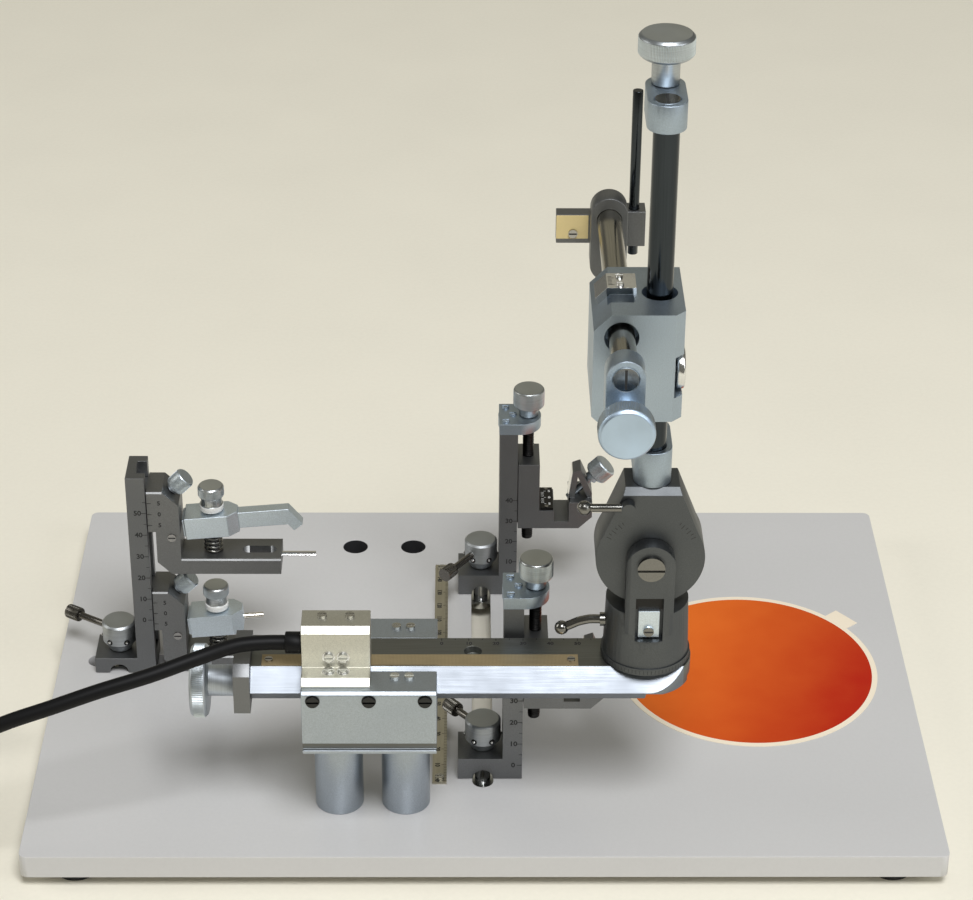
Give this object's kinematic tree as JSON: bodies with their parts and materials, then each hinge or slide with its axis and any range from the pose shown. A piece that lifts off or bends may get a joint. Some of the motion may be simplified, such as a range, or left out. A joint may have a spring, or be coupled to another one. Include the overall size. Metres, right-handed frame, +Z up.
{
  "type": "stereotaxic frame",
  "caption": "Small-animal stereotaxic frame: base plate with ear-bar holders, nose-clamp column and a three-axis manipulator on a screw-driven guide bar.",
  "frame": {"origin": "middle of the object's bounding box on the bench, under the rubber feet", "axes": "+Z up, +X to the right along the guide bar, +Y from the front edge to the back"},
  "size_m": [0.4884, 0.2642, 0.3179],
  "materials": {
    "plate_paint": "satin",
    "rubber": "matte",
    "steel": "satin",
    "dark_aluminium": "satin",
    "light_aluminium": "satin",
    "black_plastic": "matte",
    "sticker_film": "satin",
    "brass": "satin",
    "strip_steel": "satin"
  },
  "bodies": {
    "base": {"base_plate": "plate_paint", "rubber_feet": "rubber", "rule": "steel", "sticker": "sticker_film", "bracket_posts": "light_aluminium", "drive_bracket": "light_aluminium", "read_head": "light_aluminium", "base_screws": "steel", "drive_nut": "brass", "cable_gland": "black_plastic", "cable": "black_plastic", "cable_coil": "black_plastic", "connector": "black_plastic"},
    "ap_slide": {"guide_bar": "dark_aluminium", "encoder_strip": "strip_steel", "thrust_block": "light_aluminium"},
    "ap_knob": {"ap_drive": "light_aluminium"},
    "tower": {"tower": "dark_aluminium", "tower_latch": "steel", "pivot_screw": "steel"},
    "swivel_lever": {"swivel_lever": "steel"},
    "column": {"tilt_head": "dark_aluminium", "dv_rod": "steel", "dv_foot": "light_aluminium", "dv_top": "light_aluminium"},
    "tilt_lever": {"tilt_lever": "steel"},
    "carriage": {"carriage_block": "light_aluminium", "carriage_saddle": "steel"},
    "dv_knob": {"dv_drive": "light_aluminium"},
    "carriage_lock": {"carriage_lock": "steel"},
    "cross_arm": {"ml_rod": "steel", "ml_front_bracket": "light_aluminium", "ml_rear_bracket": "light_aluminium", "probe_holder": "dark_aluminium"},
    "ml_knob": {"ml_drive": "light_aluminium"},
    "probe": {"probe_rod": "steel"},
    "near_holder": {"near_ear_post": "dark_aluminium", "near_ear_cap": "light_aluminium"},
    "near_carriage": {"near_ear_carriage": "dark_aluminium"},
    "near_drive": {"near_ear_drive": "light_aluminium"},
    "near_bar_knob": {"near_ear_knob": "steel"},
    "near_clamp": {"near_ear_clamp": "steel"},
    "far_holder": {"far_ear_post": "dark_aluminium", "far_ear_cap": "light_aluminium"},
    "far_carriage": {"far_ear_carriage": "dark_aluminium"},
    "far_drive": {"far_ear_drive": "light_aluminium"},
    "far_bar_knob": {"far_ear_knob": "steel"},
    "far_clamp": {"far_ear_clamp": "steel"},
    "nose_column": {"nose_post": "dark_aluminium"},
    "nose_column_clamp": {"nose_post_clamp": "steel"},
    "upper_nose": {"upper_nose_carriage": "dark_aluminium", "upper_nose_spring": "steel"},
    "upper_lock": {"upper_nose_lock": "steel"},
    "upper_jaw": {"upper_nose_jaw": "light_aluminium"},
    "upper_jaw_knob": {"upper_nose_knob": "steel"},
    "lower_nose": {"lower_nose_carriage": "dark_aluminium", "lower_nose_spring": "steel"},
    "lower_lock": {"lower_nose_lock": "steel"},
    "lower_jaw": {"lower_nose_jaw": "light_aluminium"},
    "lower_jaw_knob": {"lower_nose_knob": "steel"}
  },
  "joints": [
    {"name": "ap_travel", "type": "slide", "parent": "base", "child": "ap_slide", "axis": [1, 0, 0], "range_m": [-0.02, 0.015]},
    {"name": "ap_knob_turn", "type": "hinge", "parent": "ap_slide", "child": "ap_knob", "pos_m": [-0.0854, -0.07385, 0.0698], "axis": [1, 0, 0], "range_deg": [-2402, 1802]},
    {"name": "swivel", "type": "hinge", "parent": "ap_slide", "child": "tower", "pos_m": [0.0585, -0.07185, 0.0816], "axis": [0, 0, 1], "range_deg": [-90, 90]},
    {"name": "swivel_lever_turn", "type": "hinge", "parent": "tower", "child": "swivel_lever", "pos_m": [0.0428, -0.07185, 0.0956], "axis": [1, 0, 0], "range_deg": [-40, 40]},
    {"name": "tilt", "type": "hinge", "parent": "tower", "child": "column", "pos_m": [0.0585, -0.07185, 0.1266], "axis": [0, 1, 0], "range_deg": [-30, 30]},
    {"name": "tilt_lever_turn", "type": "hinge", "parent": "column", "child": "tilt_lever", "pos_m": [0.0499, -0.07955, 0.1491], "axis": [0, 1, 0], "range_deg": [-25, 25]},
    {"name": "dv_travel", "type": "slide", "parent": "column", "child": "carriage", "axis": [0, 0, 1], "range_m": [-0.017, 0.058]},
    {"name": "dv_knob_turn", "type": "hinge", "parent": "column", "child": "dv_knob", "pos_m": [0.0585, -0.05885, 0.1551], "axis": [0, 0, 1], "range_deg": [-2043, 6962]},
    {"name": "carriage_lock_turn", "type": "hinge", "parent": "carriage", "child": "carriage_lock", "pos_m": [0.0665, -0.07985, 0.2048], "axis": [1, 0, 0], "range_deg": [-180, 180]},
    {"name": "ml_travel", "type": "slide", "parent": "carriage", "child": "cross_arm", "axis": [0, 1, 0], "range_m": [-0.05, 0.018]},
    {"name": "ml_knob_turn", "type": "hinge", "parent": "cross_arm", "child": "ml_knob", "pos_m": [0.045, -0.11785, 0.2076], "axis": [0, 1, 0], "range_deg": [-6003, 2162]},
    {"name": "probe_slide", "type": "slide", "parent": "cross_arm", "child": "probe", "axis": [0, 0, 1], "range_m": [-0.02, 0.02]},
    {"name": "near_holder_travel", "type": "slide", "parent": "base", "child": "near_holder", "axis": [0, 1, 0], "range_m": [-0.0018, 0.035]},
    {"name": "near_ear_height", "type": "slide", "parent": "near_holder", "child": "near_carriage", "axis": [0, 0, 1], "range_m": [-0.018, 0.004]},
    {"name": "near_drive_turn", "type": "hinge", "parent": "near_holder", "child": "near_drive", "pos_m": [0.0188, -0.0521, 0.0475], "axis": [0, 0, 1], "range_deg": [-4322, 962]},
    {"name": "near_bar_knob_turn", "type": "hinge", "parent": "near_carriage", "child": "near_bar_knob", "pos_m": [0.0431, -0.0521, 0.065], "axis": [0.7071, 0, 0.7071], "range_deg": [-180, 180]},
    {"name": "near_clamp_turn", "type": "hinge", "parent": "near_holder", "child": "near_clamp", "pos_m": [-0.0005, -0.0521, 0.0145], "axis": [0, 0, 1], "range_deg": [-60, 120]},
    {"name": "far_holder_travel", "type": "slide", "parent": "base", "child": "far_holder", "axis": [0, 1, 0], "range_m": [-0.035, 0.008]},
    {"name": "far_ear_height", "type": "slide", "parent": "far_holder", "child": "far_carriage", "axis": [0, 0, 1], "range_m": [-0.018, 0.012]},
    {"name": "far_drive_turn", "type": "hinge", "parent": "far_holder", "child": "far_drive", "pos_m": [0.0188, 0.0753, 0.0475], "axis": [0, 0, 1], "range_deg": [-4322, 2882]},
    {"name": "far_bar_knob_turn", "type": "hinge", "parent": "far_carriage", "child": "far_bar_knob", "pos_m": [0.0431, 0.0753, 0.065], "axis": [0.7071, 0, 0.7071], "range_deg": [-180, 180]},
    {"name": "far_clamp_turn", "type": "hinge", "parent": "far_holder", "child": "far_clamp", "pos_m": [-0.0005, 0.0753, 0.0145], "axis": [0, 0, 1], "range_deg": [-120, 60]},
    {"name": "nose_travel", "type": "slide", "parent": "base", "child": "nose_column", "axis": [1, 0, 0], "range_m": [-0.006, 0.03]},
    {"name": "nose_clamp_turn", "type": "hinge", "parent": "nose_column", "child": "nose_column_clamp", "pos_m": [-0.1465, 0.018, 0.0145], "axis": [0, 0, 1], "range_deg": [-70, 95]},
    {"name": "upper_nose_height", "type": "slide", "parent": "nose_column", "child": "upper_nose", "axis": [0, 0, 1], "range_m": [-0.002, 0.01]},
    {"name": "upper_lock_turn", "type": "hinge", "parent": "upper_nose", "child": "upper_lock", "pos_m": [-0.1221, 0.018, 0.0959], "axis": [0.7071, 0, 0.7071], "range_deg": [-180, 180]},
    {"name": "upper_jaw_press", "type": "slide", "parent": "upper_nose", "child": "upper_jaw", "axis": [0, 0, 1], "range_m": [-0.003, 0.001], "stiffness_N_per_m": 300, "springref_m": 0.0004, "deforming": ["upper_nose_spring"]},
    {"name": "upper_jaw_knob_turn", "type": "hinge", "parent": "upper_jaw", "child": "upper_jaw_knob", "pos_m": [-0.1068, 0.018, 0.0615], "axis": [0, 0, 1], "range_deg": [-1545, 517]},
    {"name": "lower_nose_height", "type": "slide", "parent": "nose_column", "child": "lower_nose", "axis": [0, 0, 1], "range_m": [0, 0.002]},
    {"name": "lower_lock_turn", "type": "hinge", "parent": "lower_nose", "child": "lower_lock", "pos_m": [-0.1221, 0.018, 0.0495], "axis": [0.7071, 0, 0.7071], "range_deg": [-180, 180]},
    {"name": "lower_jaw_press", "type": "slide", "parent": "lower_nose", "child": "lower_jaw", "axis": [0, 0, 1], "range_m": [-0.003, 0.001], "stiffness_N_per_m": 300, "springref_m": 0.0004, "deforming": ["lower_nose_spring"]},
    {"name": "lower_jaw_knob_turn", "type": "hinge", "parent": "lower_jaw", "child": "lower_jaw_knob", "pos_m": [-0.1068, 0.018, 0.0151], "axis": [0, 0, 1], "range_deg": [-1545, 517]}
  ],
  "couplings": [
    {"joint": "ap_knob_turn", "follows": "ap_travel", "rad_per_m": 2094.4},
    {"joint": "dv_knob_turn", "follows": "dv_travel", "rad_per_m": 2094.4},
    {"joint": "ml_knob_turn", "follows": "ml_travel", "rad_per_m": 2094.4},
    {"joint": "near_drive_turn", "follows": "near_ear_height", "rad_per_m": 4188.8},
    {"joint": "far_drive_turn", "follows": "far_ear_height", "rad_per_m": 4188.8},
    {"joint": "upper_jaw_knob_turn", "follows": "upper_jaw_press", "rad_per_m": 8976},
    {"joint": "lower_jaw_knob_turn", "follows": "lower_jaw_press", "rad_per_m": 8976}
  ]
}
